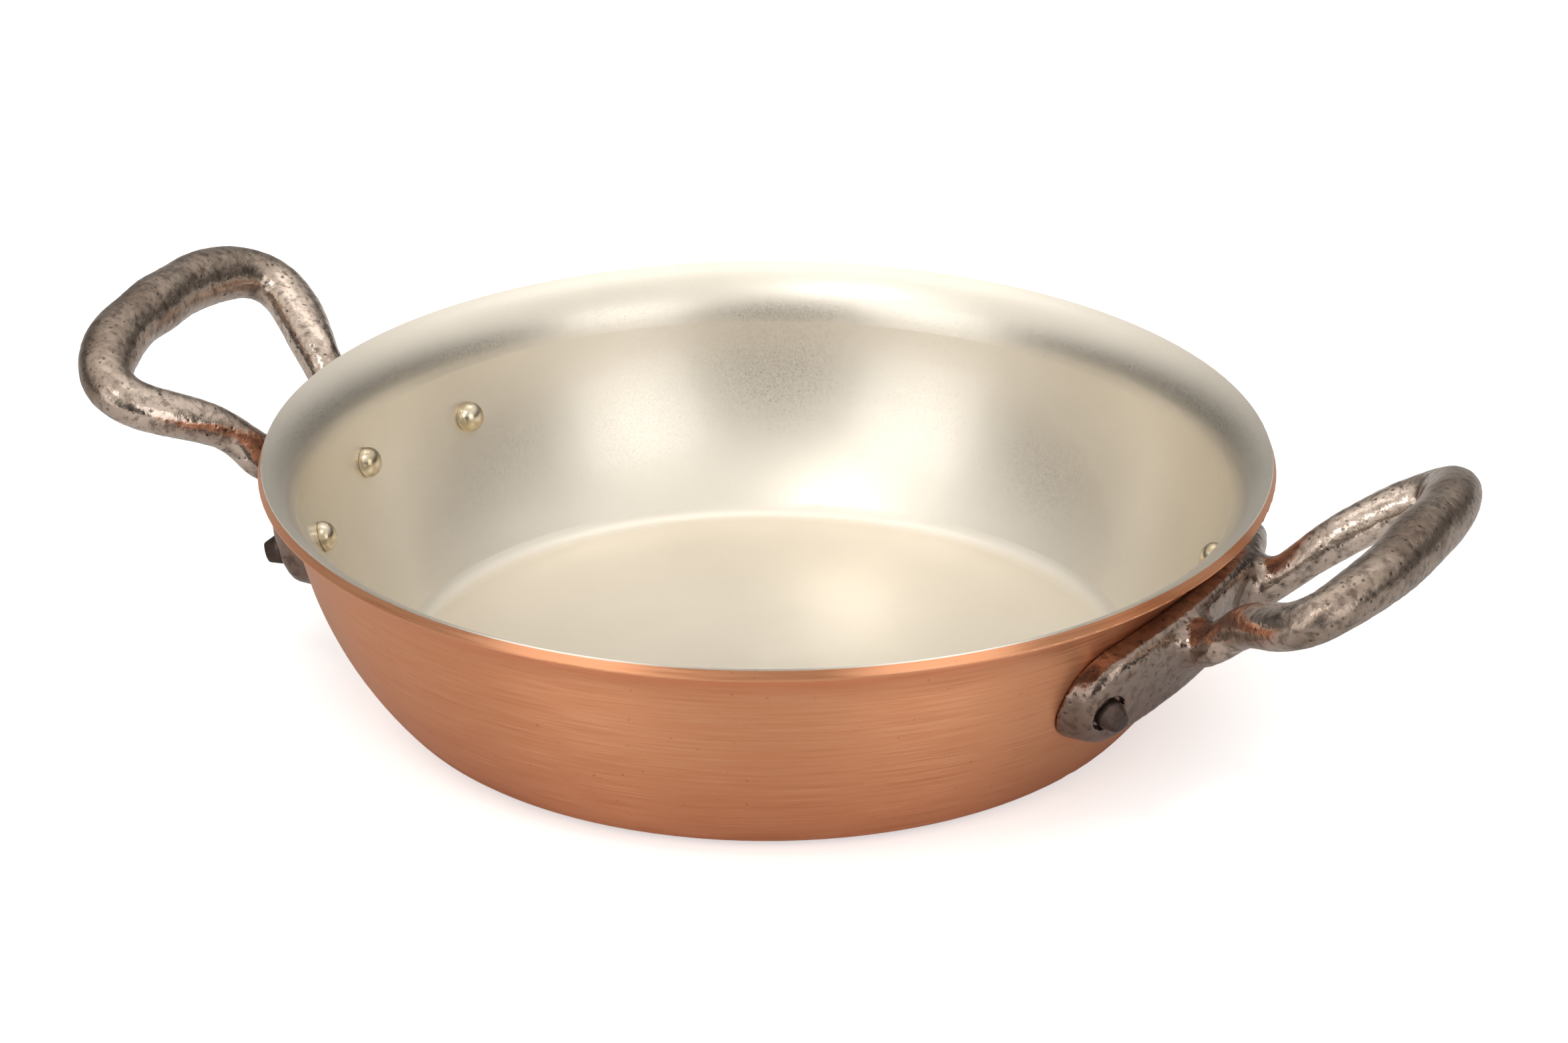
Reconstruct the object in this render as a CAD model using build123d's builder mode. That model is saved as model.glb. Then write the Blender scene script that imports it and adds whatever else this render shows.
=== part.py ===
from build123d import *
from math import acos, cos, radians, sin
import os

# A low round pan in copper with a steel lining. Two cast iron loop handles stand
# opposite each other, close to the X axis, each held by three rivets. Millimetres,
# +Z up, origin at the centre of the underside of the base.

# Pan
PAN_D = 200.0           # across the rim
PAN_H = 49.2            # table to the highest point of the rim
COPPER_T = 2.2          # copper layer of the bonded sheet
STEEL_T = 0.3           # steel layer of the bonded sheet
BEND_R = 8.5            # outer radius between base and wall
WALL_START = 48.5       # slope of the wall above its bend, degrees above level
WALL_END = 80.7         # slope of the wall below the lip
LIP_R = 10.6            # outer radius of the lip, which curls outwards
LIP_END = 20.0          # slope of the lip at the rim
RIM_ROUND = 0.5         # rounded outer corner of the copper at the rim

# Rivets
RIVET_STEP = 21.7       # degrees around the pan between the rivets of a handle
SIDE_RIVET_Z = 28.3     # height where a side rivet leaves the wall
MIDDLE_RIVET_Z = 30.1   # the middle rivet sits a little higher
SHANK_R = 2.4
HEAD_R = 3.1            # domed head inside the pan
HEAD_H = 3.0
HEAD_EDGE = 0.5         # straight edge under the dome
TAIL_R = 3.0            # tapered tail outside
TAIL_END_R = 2.0
TAIL_OUT = 3.2          # how far the tail stands out of the plate
TAIL_STRAIGHT = 0.6     # how much of that is straight before it tapers
TAIL_ROUND = 0.4
SHANK_GAP = 0.04        # radial room around each shank
SEAT_GAP = 0.07         # room under a flat head on the curved wall

# Handles
HANDLE_SKEW = 1.25      # degrees that each handle sits off the X axis, towards -Y
PLATE_WIDTH = 81.5      # straight across, tip to tip
PLATE_BOTTOM = 18.6     # height of the plate's lower edge at its ends
PLATE_TOP = 38.6        # height of the plate's upper edge at its ends
PLATE_ARCH = 3.2        # how much higher the plate sits at its middle
PLATE_T = 5.8
PLATE_ROUND = 3.0       # rounded outer edge of the plate
PLATE_SLOPES = (50, 72, 94)     # the outer face's lowest, middle and highest slope
PLATE_GAP = 0.05        # between plate and wall
JOINT_ROUND = 4.0       # where the loop grows out of the plate
POCKET_R = 3.8          # pocket around each rivet tail
POCKET_DEPTH = 1.6
# Half of a loop, from inside the plate to the middle of the grip. Each line holds a
# centre (out from the pan's axis, sideways, up), a half width and a half thickness.
HALF_LOOP = [
    (91.5, 12.0, 28.0, 5.2, 4.8),
    (98.0, 13.7, 33.1, 4.6, 4.1),
    (107.5, 19.2, 40.4, 4.4, 3.9),
    (118.5, 28.3, 47.7, 5.4, 4.4),
    (128.1, 32.1, 52.6, 5.7, 4.6),
    (133.6, 24.4, 55.8, 6.0, 5.1),
    (136.1, 12.4, 57.0, 5.9, 5.5),
    (136.3, 0.0, 57.4, 6.1, 5.8),
]

# The outer face of the sheet is three arcs in a row: bend, wall and lip. The wall's
# radius follows from the pan's height, and the flat base from its diameter.
SHEET_T = COPPER_T + STEEL_T
low, high, rim = radians(WALL_START), radians(WALL_END), radians(LIP_END)
bend_rise = BEND_R * (1 - cos(low))
lip_rise = LIP_R * (cos(rim) - cos(high)) + SHEET_T * cos(rim)
WALL_R = (PAN_H - bend_rise - lip_rise) / (cos(low) - cos(high))
bend_run = BEND_R * sin(low)
wall_run = WALL_R * (sin(high) - sin(low))
lip_run = LIP_R * (sin(high) - sin(rim))
BASE_R = PAN_D / 2 - bend_run - wall_run - lip_run

# Each arc: centre, outer radius, +1 if it bulges out of the pan, first and last slope.
wall_centre = (BASE_R + (BEND_R - WALL_R) * sin(low), BEND_R + (WALL_R - BEND_R) * cos(low))
lip_centre = (wall_centre[0] + (WALL_R + LIP_R) * sin(high), wall_centre[1] - (WALL_R + LIP_R) * cos(high))
BEND = ((BASE_R, BEND_R), BEND_R, 1, 0.0, low)
WALL = (wall_centre, WALL_R, 1, low, high)
LIP = (lip_centre, LIP_R, -1, high, rim)


def arc_point(arc, slope, depth):
    """Radius and height on an arc at a slope, at a depth below the outer face."""
    (centre_r, centre_z), radius, side = arc[:3]
    reach = side * radius - depth
    return (centre_r + reach * sin(slope), centre_z - reach * cos(slope))


def sheet_line(depth):
    """The run of a bonded layer's face from the pan's axis to the rim."""
    Line((0, depth), (BASE_R, depth))
    for arc in (BEND, WALL, LIP):
        first, last = arc[3:]
        ThreePointArc(*[arc_point(arc, slope, depth) for slope in (first, (first + last) / 2, last)])
    return arc_point(LIP, rim, depth)


def layer_section(outer_depth, inner_depth, corner=0.0):
    """Half section of a layer of the sheet, between two depths below the outer face."""
    with BuildSketch(Plane.XZ) as section:
        with BuildLine():
            rim_outside = sheet_line(outer_depth)
            rim_inside = sheet_line(inner_depth)
            Line(rim_outside, rim_inside)
            Line((0, outer_depth), (0, inner_depth))
        make_face()
        if corner:
            fillet(section.vertices().sort_by(Axis.X)[-1], corner)
    return section.sketch


def filled_section(depth):
    """Half section of everything inside the sheet's face at a depth, up to the rim."""
    with BuildSketch(Plane.XZ) as section:
        with BuildLine():
            rim_point = sheet_line(depth)
            Polyline(rim_point, (0, rim_point[1]), (0, depth))
        make_face()
    return section.sketch


def plate_section():
    """Half section out to the plate's outer face, which follows the wall's arc."""
    low_point, middle_point, high_point = [
        arc_point(WALL, radians(slope), -PLATE_GAP - PLATE_T) for slope in PLATE_SLOPES
    ]
    with BuildSketch(Plane.XZ) as section:
        with BuildLine():
            ThreePointArc(low_point, middle_point, high_point)
            Polyline(high_point, (0, high_point[1]), (0, low_point[1]), low_point)
        make_face()
    return section.sketch


def wall_plane(azimuth, height, depth=0.0):
    """Plane on the wall at an azimuth in degrees, facing straight out of the wall."""
    slope = acos((wall_centre[1] - height) / WALL_R)
    reach, z = arc_point(WALL, slope, depth)
    around = radians(azimuth)
    outward = (sin(slope) * cos(around), sin(slope) * sin(around), -cos(slope))
    sideways = (-sin(around), cos(around), 0)
    return Plane((reach * cos(around), reach * sin(around), z), x_dir=sideways, z_dir=outward)


def rivet_spots(handle_azimuth):
    """Azimuth and height of the three rivets of a handle."""
    return [
        (handle_azimuth - RIVET_STEP, SIDE_RIVET_Z),
        (handle_azimuth, MIDDLE_RIVET_Z),
        (handle_azimuth + RIVET_STEP, SIDE_RIVET_Z),
    ]


def drill_layer(outer_depth):
    """Drill all six rivet holes through a layer of the sheet."""
    spots = rivet_spots(RIGHT_AZIMUTH) + rivet_spots(LEFT_AZIMUTH)
    with Locations(*[wall_plane(azimuth, height, outer_depth) for azimuth, height in spots]):
        Hole(SHANK_R + SHANK_GAP, depth=2 * SHEET_T)


RIGHT_AZIMUTH = -HANDLE_SKEW
LEFT_AZIMUTH = 180 + HANDLE_SKEW

with BuildPart() as copper_shell:
    revolve(layer_section(0, COPPER_T, RIM_ROUND), axis=Axis.Z)
    drill_layer(0)
copper_shell.part.label = "copper_shell"

with BuildPart() as steel_lining:
    revolve(layer_section(COPPER_T, SHEET_T), axis=Axis.Z)
    drill_layer(COPPER_T)
steel_lining.part.label = "steel_lining"


def loop_planes():
    """A plane across the loop at each listed point, with its x axis away from the hole."""
    whole = HALF_LOOP + [(x, -y, z, *size) for x, y, z, *size in reversed(HALF_LOOP[:-1])]
    centres = [Vector(x, y, z) for x, y, z, *size in whole]
    curve = Spline(*centres)
    hole_x = (HALF_LOOP[0][0] + HALF_LOOP[-1][0]) / 2
    hole_z = (HALF_LOOP[0][2] + HALF_LOOP[-1][2]) / 2
    planes = []
    for centre, spot in zip(centres, whole):
        along = curve.tangent_at(curve.param_at_point(centre))
        away = centre - Vector(hole_x, 0, hole_z)
        across = away - along * away.dot(along)
        planes.append((Plane(centre, x_dir=across, z_dir=along), spot[3], spot[4]))
    return planes


plate_height = PLATE_TOP - PLATE_BOTTOM
end_y = (PLATE_WIDTH - plate_height) / 2
end_z = (PLATE_TOP + PLATE_BOTTOM) / 2
plate_arc = ThreePointArc((-end_y, end_z), (0, end_z + PLATE_ARCH), (end_y, end_z))

with BuildPart() as casting:
    with BuildSketch(Plane.YZ):
        SlotArc(plate_arc, plate_height)
    extrude(amount=PAN_D)
    revolve(plate_section(), axis=Axis.Z, mode=Mode.INTERSECT)
    outer_edges = casting.faces().sort_by(Axis.X)[-1].edges()
    fillet(outer_edges, PLATE_ROUND)
    for plane, half_width, half_thickness in loop_planes():
        with BuildSketch(plane):
            Ellipse(half_width, half_thickness)
    loft()
    joint_edges = casting.edges(Select.NEW)
    fillet(joint_edges, JOINT_ROUND)
    revolve(filled_section(-PLATE_GAP), axis=Axis.Z, mode=Mode.SUBTRACT)
    tail_seats = [wall_plane(azimuth, height, -PLATE_GAP - PLATE_T) for azimuth, height in rivet_spots(0)]
    with Locations(*tail_seats):
        CounterBoreHole(SHANK_R + SHANK_GAP, POCKET_R, POCKET_DEPTH, depth=2 * PLATE_T)

with BuildPart() as handle_right:
    add(casting.part.rotate(Axis.Z, RIGHT_AZIMUTH))
handle_right.part.label = "handle_right"

with BuildPart() as handle_left:
    add(casting.part.rotate(Axis.Z, LEFT_AZIMUTH))
handle_left.part.label = "handle_left"

for piece in (copper_shell, steel_lining, handle_right, handle_left):
    export_step(piece.part, f"parts/{piece.part.label}.step")


def rivet_section(seat):
    """Half section of a rivet: domed head inside, shank, tapered tail outside."""
    head_base = -SHEET_T - SEAT_GAP
    edge_top = head_base - HEAD_EDGE
    plate_face = PLATE_GAP + PLATE_T
    tail_base = plate_face - POCKET_DEPTH + SEAT_GAP
    tip = plate_face + TAIL_OUT
    with BuildSketch(Plane(seat.origin, x_dir=seat.x_dir, z_dir=-seat.y_dir)) as section:
        with BuildLine():
            EllipticalCenterArc((0, edge_top), HEAD_R, HEAD_H - HEAD_EDGE, 270, arc_size=90)
            Polyline(
                (HEAD_R, edge_top),
                (HEAD_R, head_base),
                (SHANK_R, head_base),
                (SHANK_R, tail_base),
                (TAIL_R, tail_base),
                (TAIL_R, plate_face + TAIL_STRAIGHT),
                (TAIL_END_R, tip),
                (0, tip),
                (0, head_base - HEAD_H),
            )
        make_face()
        fillet(section.vertices().sort_by_distance((TAIL_END_R, tip))[0], TAIL_ROUND)
    return section.sketch


for side, handle_azimuth in (("right", RIGHT_AZIMUTH), ("left", LEFT_AZIMUTH)):
    for place, (azimuth, height) in zip(("near", "middle", "far"), rivet_spots(handle_azimuth)):
        seat = wall_plane(azimuth, height)
        with BuildPart() as rivet:
            revolve(rivet_section(seat), axis=Axis(seat.origin, seat.z_dir))
        rivet.part.label = f"rivet_{side}_{place}"
        export_step(rivet.part, f"parts/{rivet.part.label}.step")
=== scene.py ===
import bmesh
import bpy
from math import cos, pi, radians, sin
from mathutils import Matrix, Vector, noise


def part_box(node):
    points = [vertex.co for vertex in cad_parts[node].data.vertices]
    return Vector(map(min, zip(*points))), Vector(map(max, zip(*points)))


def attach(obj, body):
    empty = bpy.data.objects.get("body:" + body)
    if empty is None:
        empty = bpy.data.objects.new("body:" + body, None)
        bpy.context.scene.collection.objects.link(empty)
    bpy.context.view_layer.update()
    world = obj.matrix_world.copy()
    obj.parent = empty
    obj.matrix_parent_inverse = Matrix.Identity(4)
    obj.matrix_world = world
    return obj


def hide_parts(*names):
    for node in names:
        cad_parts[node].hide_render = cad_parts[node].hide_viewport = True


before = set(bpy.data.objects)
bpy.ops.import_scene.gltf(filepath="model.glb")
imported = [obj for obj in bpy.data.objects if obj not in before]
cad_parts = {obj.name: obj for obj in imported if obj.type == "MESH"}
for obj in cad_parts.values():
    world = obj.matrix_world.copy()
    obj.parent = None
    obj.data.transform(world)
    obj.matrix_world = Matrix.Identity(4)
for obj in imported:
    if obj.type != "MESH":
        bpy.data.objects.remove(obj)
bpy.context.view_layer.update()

# A low copper pan with a steel lining and two cast iron loop handles. Metres, +Z up.
pan_low, pan_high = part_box("copper_shell")
RIM_R = pan_high.x                      # the pan is round about the Z axis
RIM_Z = pan_high.z
RIVET_SPLIT_R = RIM_R * 0.93            # rivets are bright inside this radius, dark outside

# Camera: a long lens, seen from a little above the pan
LENS = 146.8                            # mm on a 36 mm wide sensor
CAMERA_AZIMUTH = radians(-64.85)        # direction from the pan to the camera
CAMERA_ELEVATION = radians(23.73)
CAMERA_DISTANCE = 1.2557                # to the centre of the rim
AIM_RIGHT = 0.0033                      # the camera looks a little beside the rim's centre
AIM_DOWN = 0.0137                       # and below it

# Soft boxes: name, degrees round from the camera and up, width, height, radiance
SOFT_BOXES = [
    ("left_box", -43, 20, 0.85, 1.1, 1.65),
    ("right_box", 37, 20, 0.85, 1.1, 1.65),
    ("back_box", 180, 72, 1.2, 0.6, 0.9),
    ("key_box", -30, 60, 0.40, 0.22, 8.0),
]
BOX_DISTANCE = 1.5

# Room and floor. The camera alone sees the room white and the floor lifted to white.
WHITE = (1.0, 1.0, 1.0, 1.0)
ROOM_TINT = (1.0, 0.975, 0.935, 1.0)
ROOM_LOW, ROOM_HIGH = 0.06, 0.95        # strength at the horizon and overhead
ROOM_RISE = (0.33, 0.68)                # between these heights on a unit sphere
BACKDROP = 0.25                         # extra strength behind the pan
BACKDROP_SPREAD = (0.75, 1.0)           # cosines of the angle from straight behind
FLOOR_TONE = (0.70, 0.70, 0.70, 1.0)
FLOOR_TONE_SEEN = (0.93, 0.93, 0.93, 1.0)
FLOOR_GLOW = 0.55
FLOOR_SIZE, FLOOR_GAP = 30.0, 0.0002

# Cast iron
VOXEL, FAST_VOXEL = 0.00037, 0.0008
LUMP_SIZE, LUMP_HEIGHT = 0.009, 0.00012
WRINKLE_SIZE, WRINKLE_HEIGHT = 0.0018, 0.000065
CREASE_SIZE, CREASE_DEPTH, CREASE_WIDTH = 0.0075, 0.00016, 0.05
CREASE_OFFSET = Vector((5.0, 3.0, 1.0))
# The iron near the wall is painted darker and redder: painted shade and painted copper reflection, with
# some real rust
SHADE_RUST_START, SHADE_RUST_END = 0.095, 0.110     # browner from the wall out to here
GRIP_START, GRIP_END = 0.126, 0.135     # duller from here to the grip

# Rivets
RIVET_VOXEL = 0.00013
DENT_SIZE, DENT_HEIGHT = 0.0022, 0.00006


# ---------------------------------------------------------------- node helpers

def new_material(name):
    """A material with a Principled shader: returns the material, its tree and the shader."""
    material = bpy.data.materials.new(name)
    material.use_nodes = True
    tree = material.node_tree
    return material, tree, tree.nodes["Principled BSDF"]


def add_node(tree, kind, inputs=None, **settings):
    """Adds a node. An input is a value, or the output socket of another node."""
    node = tree.nodes.new(kind)
    for key, value in settings.items():
        setattr(node, key, value)
    for key, value in (inputs or {}).items():
        connect(tree, node.inputs[key], value)
    return node


def connect(tree, socket, value):
    """Links an output to a socket, or sets the socket to a plain value."""
    if isinstance(value, bpy.types.NodeSocket):
        tree.links.new(value, socket)
    else:
        socket.default_value = value


def math_node(tree, operation, first, second=0.0):
    """Output of a Math node."""
    return add_node(tree, "ShaderNodeMath", {0: first, 1: second}, operation=operation).outputs[0]


def noise_node(tree, vector, scale, detail, roughness=0.55):
    """Factor of a Noise texture, centred on 0.5."""
    inputs = {"Vector": vector, "Scale": scale, "Detail": detail, "Roughness": roughness}
    return add_node(tree, "ShaderNodeTexNoise", inputs).outputs["Fac"]


def remap(tree, value, low, high, to_low, to_high):
    """Value moved from one range to another and clamped."""
    inputs = {"Value": value, "From Min": low, "From Max": high, "To Min": to_low, "To Max": to_high}
    return add_node(tree, "ShaderNodeMapRange", inputs).outputs["Result"]


def mix_color(tree, factor, first, second):
    """Output of a colour Mix node."""
    node = add_node(tree, "ShaderNodeMix", data_type="RGBA")
    connect(tree, node.inputs[0], factor)
    connect(tree, node.inputs[6], first)
    connect(tree, node.inputs[7], second)
    return node.outputs[2]


def object_position(tree):
    """Position in the part's own frame."""
    return add_node(tree, "ShaderNodeTexCoord").outputs["Object"]


def turned_position(tree, around, across):
    """A vector that changes slowly around the pan and fast across the brushed lines."""
    parts = add_node(tree, "ShaderNodeSeparateXYZ", {0: object_position(tree)})
    flat = add_node(tree, "ShaderNodeCombineXYZ", {0: parts.outputs[0], 1: parts.outputs[1]})
    reach = add_node(tree, "ShaderNodeVectorMath", {0: flat.outputs[0]}, operation="LENGTH")
    unit = add_node(tree, "ShaderNodeVectorMath", {0: flat.outputs[0]}, operation="NORMALIZE")
    slow = add_node(tree, "ShaderNodeVectorMath", {0: unit.outputs[0], "Scale": around}, operation="SCALE")
    run = math_node(tree, "ADD", parts.outputs[2], reach.outputs["Value"])
    fast = add_node(tree, "ShaderNodeCombineXYZ", {2: math_node(tree, "MULTIPLY", run, across)})
    inputs = {0: slow.outputs[0], 1: fast.outputs[0]}
    return add_node(tree, "ShaderNodeVectorMath", inputs, operation="ADD").outputs[0]


def bump(tree, height, distance, strength=1.0, below=None):
    """Normal of a Bump node, on top of another bump if one is given."""
    inputs = {"Height": height, "Distance": distance, "Strength": strength}
    if below is not None:
        inputs["Normal"] = below
    return add_node(tree, "ShaderNodeBump", inputs).outputs["Normal"]


# ------------------------------------------------------------------- materials

def radial_grain(tree, shader, amount):
    """Stretches highlights across the brushed lines, which run round and round."""
    tangent = add_node(tree, "ShaderNodeTangent", direction_type="RADIAL", axis="Z")
    connect(tree, shader.inputs["Tangent"], tangent.outputs[0])
    connect(tree, shader.inputs["Anisotropic"], amount)
    connect(tree, shader.inputs["Anisotropic Rotation"], 0.25)


def copper_material():
    """Satin copper, brushed round and round, with a bloom that varies slowly."""
    material, tree, shader = new_material("brushed_copper")
    fine = noise_node(tree, turned_position(tree, 11.0, 7500.0), 1.0, 2.0)
    streaks = noise_node(tree, turned_position(tree, 5.0, 2200.0), 1.0, 4.0)
    bloom = noise_node(tree, object_position(tree), 16.0, 3.0)
    specks = noise_node(tree, object_position(tree), 700.0, 2.0)
    bloomed = remap(tree, bloom, 0.3, 0.7, 0, 1)
    warm = mix_color(tree, bloomed, (0.76, 0.315, 0.155, 1), (0.83, 0.375, 0.195, 1))
    bright = mix_color(tree, remap(tree, streaks, 0.42, 0.72, 0, 0.5), warm, (0.95, 0.54, 0.33, 1))
    dull = mix_color(tree, remap(tree, streaks, 0.42, 0.26, 0, 0.35), bright, (0.55, 0.24, 0.13, 1))
    spotted = mix_color(tree, remap(tree, specks, 0.70, 0.78, 0, 0.5), dull, (0.36, 0.15, 0.09, 1))
    connect(tree, shader.inputs["Base Color"], spotted)
    connect(tree, shader.inputs["Metallic"], 1.0)
    connect(tree, shader.inputs["Roughness"], remap(tree, streaks, 0.3, 0.7, 0.34, 0.47))
    radial_grain(tree, shader, 0.85)
    below = bump(tree, streaks, 0.00004, 0.6)
    connect(tree, shader.inputs["Normal"], bump(tree, fine, 0.000015, 0.6, below))
    return material


def lining_material():
    """Satin stainless steel with a fine grain and a faint straw tint."""
    material, tree, shader = new_material("satin_steel")
    grain = noise_node(tree, object_position(tree), 2400.0, 2.0)
    lines = noise_node(tree, turned_position(tree, 14.0, 4200.0), 1.0, 3.0)
    cloud = noise_node(tree, object_position(tree), 22.0, 3.0)
    clouded = remap(tree, cloud, 0.3, 0.7, 0, 1)
    tint = mix_color(tree, clouded, (0.80, 0.74, 0.64, 1), (0.87, 0.81, 0.71, 1))
    grainy = mix_color(tree, remap(tree, grain, 0.40, 0.25, 0, 0.35), tint, (0.66, 0.59, 0.50, 1))
    connect(tree, shader.inputs["Base Color"], grainy)
    connect(tree, shader.inputs["Metallic"], 1.0)
    connect(tree, shader.inputs["Roughness"], remap(tree, grain, 0.3, 0.7, 0.36, 0.46))
    connect(tree, shader.inputs["Coat Weight"], 0.5)
    connect(tree, shader.inputs["Coat Roughness"], 0.12)
    radial_grain(tree, shader, 0.3)
    below = bump(tree, lines, 0.00001, 0.5)
    connect(tree, shader.inputs["Normal"], bump(tree, grain, 0.00002, 0.4, below))
    return material


def axis_distance(tree):
    """Distance of the shaded point from the pan's axis."""
    flat = {0: object_position(tree), 1: (1.0, 1.0, 0.0)}
    across = add_node(tree, "ShaderNodeVectorMath", flat, operation="MULTIPLY")
    length = add_node(tree, "ShaderNodeVectorMath", {0: across.outputs[0]}, operation="LENGTH")
    return length.outputs["Value"]


def iron_pits(tree, place):
    """Small round pits in some of the cells of a Voronoi pattern."""
    cells = add_node(tree, "ShaderNodeTexVoronoi", {"Vector": place, "Scale": 760.0})
    chosen = math_node(tree, "GREATER_THAN", cells.outputs["Color"], 0.66)
    return math_node(tree, "MULTIPLY", remap(tree, cells.outputs["Distance"], 0.12, 0.34, 1, 0), chosen)


def iron_material():
    """Raw cast iron: glossy arms and plate, a duller grip, pits, rust, and a darker, redder root that is
    painted shade and painted copper reflection with some rust.
    """
    material, tree, shader = new_material("cast_iron")
    place = object_position(tree)
    reach = axis_distance(tree)
    patches = noise_node(tree, place, 60.0, 4.0)
    skin = noise_node(tree, place, 500.0, 4.0, 0.6)
    grain = noise_node(tree, place, 1900.0, 2.0)
    rust = noise_node(tree, place, 520.0, 3.0)
    pit = iron_pits(tree, place)
    grip = remap(tree, reach, GRIP_START, GRIP_END, 0.0, 0.7)
    dullness = math_node(tree, "ADD", grip, remap(tree, patches, 0.50, 0.70, 0.0, 0.5))
    skin_tone = mix_color(tree, dullness, (0.64, 0.525, 0.44, 1), (0.26, 0.192, 0.148, 1))
    # Darker and redder near the pan's wall: painted shade and painted reflection of the copper, partly
    # real rust
    root = remap(tree, reach, SHADE_RUST_END, SHADE_RUST_START, 0.0, 0.75)
    shade_and_rust_tone = mix_color(tree, root, skin_tone, (0.12, 0.064, 0.046, 1))
    mottled = mix_color(tree, remap(tree, skin, 0.52, 0.34, 0, 0.65), shade_and_rust_tone, (0.085, 0.06, 0.048, 1))
    rusty = mix_color(tree, remap(tree, rust, 0.64, 0.70, 0, 0.6), mottled, (0.15, 0.075, 0.05, 1))
    pitted = mix_color(tree, math_node(tree, "MULTIPLY", pit, 0.75), rusty, (0.05, 0.04, 0.035, 1))
    connect(tree, shader.inputs["Base Color"], pitted)
    connect(tree, shader.inputs["Metallic"], 0.9)
    connect(tree, shader.inputs["Roughness"], remap(tree, dullness, 0.0, 1.0, 0.16, 0.38))
    fine = bump(tree, grain, 0.00004, 0.7)
    rough = bump(tree, skin, 0.00017, 0.8, fine)
    connect(tree, shader.inputs["Normal"], bump(tree, pit, -0.0001, 0.6, rough))
    return material


def rivet_material():
    """Bright nickel steel on the domed heads, dark iron on the tails outside."""
    material, tree, shader = new_material("rivet_metal")
    outside = math_node(tree, "GREATER_THAN", axis_distance(tree), RIVET_SPLIT_R)
    smudge = noise_node(tree, object_position(tree), 450.0, 4.0)
    smudged = remap(tree, smudge, 0.38, 0.62, 0, 1)
    bright = mix_color(tree, smudged, (0.56, 0.455, 0.30, 1), (0.76, 0.68, 0.53, 1))
    sooty = remap(tree, smudge, 0.35, 0.65, 0, 1)
    dark = mix_color(tree, sooty, (0.05, 0.032, 0.027, 1), (0.11, 0.075, 0.062, 1))
    connect(tree, shader.inputs["Base Color"], mix_color(tree, outside, bright, dark))
    connect(tree, shader.inputs["Metallic"], remap(tree, outside, 0, 1, 1.0, 0.75))
    connect(tree, shader.inputs["Roughness"], remap(tree, outside, 0, 1, 0.27, 0.42))
    connect(tree, shader.inputs["Normal"], bump(tree, smudge, 0.00005, 0.3))
    return material


def dress(node, material):
    """Gives every slot of a CAD node one material."""
    for material_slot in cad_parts[node].material_slots:
        material_slot.material = material


# ------------------------------------------------------- cast and hammered pieces

def apply_modifier(piece, kind, **settings):
    """Adds a modifier, sets it and applies it."""
    modifier = piece.modifiers.new(kind.title(), kind)
    for key, value in settings.items():
        setattr(modifier, key, value)
    bpy.context.view_layer.objects.active = piece
    bpy.ops.object.modifier_apply(modifier=modifier.name)


def cast_height(place):
    """Height of the skin left by sand casting: broad lumps, small wrinkles, a few creases."""
    lump = noise.fractal(place / LUMP_SIZE, 1.0, 2.0, 2)
    wrinkle = noise.fractal(place / WRINKLE_SIZE, 0.8, 2.0, 2)
    fold = abs(noise.noise(place / CREASE_SIZE))
    crease = max(0.0, 1.0 - fold / CREASE_WIDTH) * max(0.0, noise.noise(place / LUMP_SIZE + CREASE_OFFSET))
    return LUMP_HEIGHT * lump + WRINKLE_HEIGHT * wrinkle - CREASE_DEPTH * crease


def hammered_height(place):
    """Height of the dents left on a rivet when it was set."""
    return DENT_HEIGHT * noise.fractal(place / DENT_SIZE, 1.0, 2.0, 2)


def faces_wall(vertex):
    """Whether a vertex looks at the pan's wall, where there is no room to move."""
    outward = Vector((vertex.co.x, vertex.co.y, 0)).normalized()
    return vertex.normal.dot(outward) < -0.5 and vertex.co.xy.length < RIM_R


def roughen(mesh, height):
    """Moves each vertex that is free to move along its normal."""
    moved = []
    for vertex in mesh.vertices:
        rise = 0.0 if faces_wall(vertex) else height(vertex.co)
        moved.append(vertex.co + vertex.normal * rise)
    for vertex, place in zip(mesh.vertices, moved):
        vertex.co = place


def reworked(node, name, voxel, height, material):
    """A piece with softened edges and a worked skin, in place of the plain CAD one."""
    piece = bpy.data.objects.new(name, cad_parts[node].data.copy())
    bpy.context.scene.collection.objects.link(piece)
    weld = bmesh.new()
    weld.from_mesh(piece.data)
    bmesh.ops.remove_doubles(weld, verts=weld.verts, dist=1e-6)
    weld.to_mesh(piece.data)
    weld.free()
    apply_modifier(piece, "REMESH", mode="VOXEL", voxel_size=voxel, use_smooth_shade=True)
    apply_modifier(piece, "SMOOTH", factor=0.5, iterations=5)
    roughen(piece.data, height)
    piece.data.materials.clear()
    piece.data.materials.append(material)
    piece.data.polygons.foreach_set("use_smooth", [True] * len(piece.data.polygons))
    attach(piece, "root")
    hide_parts(node)


# ------------------------------------------------------------ stage and lights

def stage_material():
    """Pale floor, kept white to the camera and a little darker in reflections."""
    material, tree, shader = new_material("pale_floor")
    camera_ray = add_node(tree, "ShaderNodeLightPath").outputs["Is Camera Ray"]
    connect(tree, shader.inputs["Base Color"], mix_color(tree, camera_ray, FLOOR_TONE, FLOOR_TONE_SEEN))
    connect(tree, shader.inputs["Roughness"], 0.9)
    connect(tree, shader.inputs["Specular IOR Level"], 0.0)
    connect(tree, shader.inputs["Emission Color"], WHITE)
    glow = math_node(tree, "MULTIPLY", camera_ray, FLOOR_GLOW)
    connect(tree, shader.inputs["Emission Strength"], glow)
    return material


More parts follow.
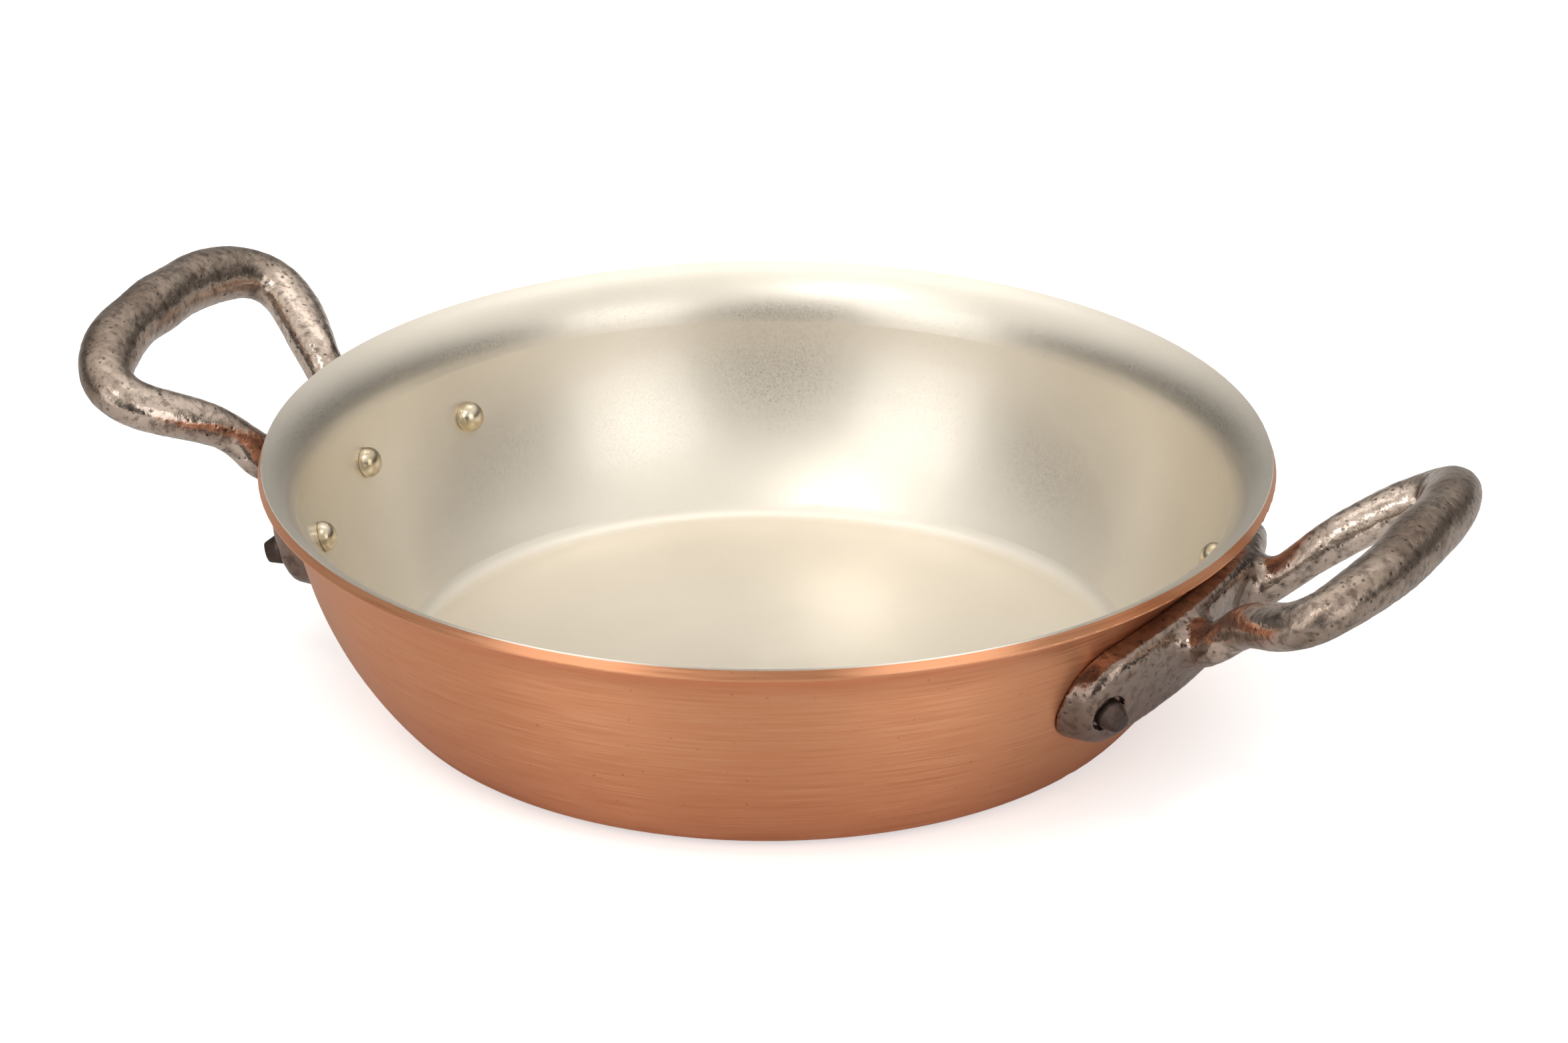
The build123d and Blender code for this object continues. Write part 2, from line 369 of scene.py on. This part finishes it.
def make_stage():
    """A plain pale floor, wide enough to fill every view."""
    bpy.ops.mesh.primitive_plane_add(size=FLOOR_SIZE, location=(0, 0, pan_low.z - FLOOR_GAP))
    floor = bpy.context.active_object
    floor.name = "floor"
    floor.data.materials.append(stage_material())


def make_world():
    """A room that is dim at the sides, brighter above and behind, and white to the camera."""
    world = bpy.data.worlds.new("studio")
    bpy.context.scene.world = world
    world.use_nodes = True
    tree = world.node_tree
    direction = add_node(tree, "ShaderNodeTexCoord").outputs["Generated"]
    height = add_node(tree, "ShaderNodeSeparateXYZ", {0: direction}).outputs[2]
    behind = (-cos(CAMERA_AZIMUTH), -sin(CAMERA_AZIMUTH), 0.0)
    facing = add_node(tree, "ShaderNodeVectorMath", {0: direction, 1: behind}, operation="DOT_PRODUCT")
    above = remap(tree, height, *ROOM_RISE, ROOM_LOW, ROOM_HIGH)
    backdrop = remap(tree, facing.outputs["Value"], *BACKDROP_SPREAD, 0.0, BACKDROP)
    room = math_node(tree, "ADD", above, backdrop)
    camera_ray = add_node(tree, "ShaderNodeLightPath").outputs["Is Camera Ray"]
    background = tree.nodes["Background"]
    connect(tree, background.inputs["Strength"], math_node(tree, "MAXIMUM", room, camera_ray))
    connect(tree, background.inputs["Color"], mix_color(tree, camera_ray, ROOM_TINT, WHITE))


def soft_box(name, azimuth, elevation, width, height, radiance):
    """A soft box that looks at the pan from a direction relative to the camera."""
    light = bpy.data.lights.new(name, "AREA")
    light.shape = "RECTANGLE"
    light.size, light.size_y = width, height
    light.energy = radiance * pi * width * height
    lamp = bpy.data.objects.new(name, light)
    bpy.context.scene.collection.objects.link(lamp)
    turn = CAMERA_AZIMUTH + radians(azimuth)
    rise = radians(elevation)
    away = Vector((cos(turn) * cos(rise), sin(turn) * cos(rise), sin(rise)))
    lamp.location = away * BOX_DISTANCE
    lamp.rotation_mode = "QUATERNION"
    lamp.rotation_quaternion = away.to_track_quat("Z", "Y")


def make_camera():
    """The camera, aimed a little below and beside the centre of the rim."""
    away = Vector((
        cos(CAMERA_AZIMUTH) * cos(CAMERA_ELEVATION),
        sin(CAMERA_AZIMUTH) * cos(CAMERA_ELEVATION),
        sin(CAMERA_ELEVATION),
    ))
    rim_centre = Vector((0, 0, RIM_Z))
    right = Vector((-sin(CAMERA_AZIMUTH), cos(CAMERA_AZIMUTH), 0))
    up = away.cross(right)
    camera = bpy.data.objects.new("camera", bpy.data.cameras.new("camera"))
    bpy.context.scene.collection.objects.link(camera)
    camera.data.sensor_width = 36.0
    camera.data.lens = LENS
    camera.location = rim_centre + away * CAMERA_DISTANCE
    aim = rim_centre + right * AIM_RIGHT - up * AIM_DOWN
    camera.rotation_mode = "QUATERNION"
    camera.rotation_quaternion = (camera.location - aim).to_track_quat("Z", "Y")
    bpy.context.scene.camera = camera


# ------------------------------------------------------------------- the scene

dress("copper_shell", copper_material())
dress("steel_lining", lining_material())
rivet_metal = rivet_material()
cast_iron = iron_material()
handle_voxel = VOXEL
for side in ("left", "right"):
    reworked(f"handle_{side}", f"cast_handle_{side}", handle_voxel, cast_height, cast_iron)
    for place in ("near", "middle", "far"):
        name = f"rivet_{side}_{place}"
        reworked(name, f"hammered_{name}", RIVET_VOXEL, hammered_height, rivet_metal)

make_stage()
make_world()
for box in SOFT_BOXES:
    soft_box(*box)
make_camera()
bpy.context.scene.view_settings.view_transform = "Standard"
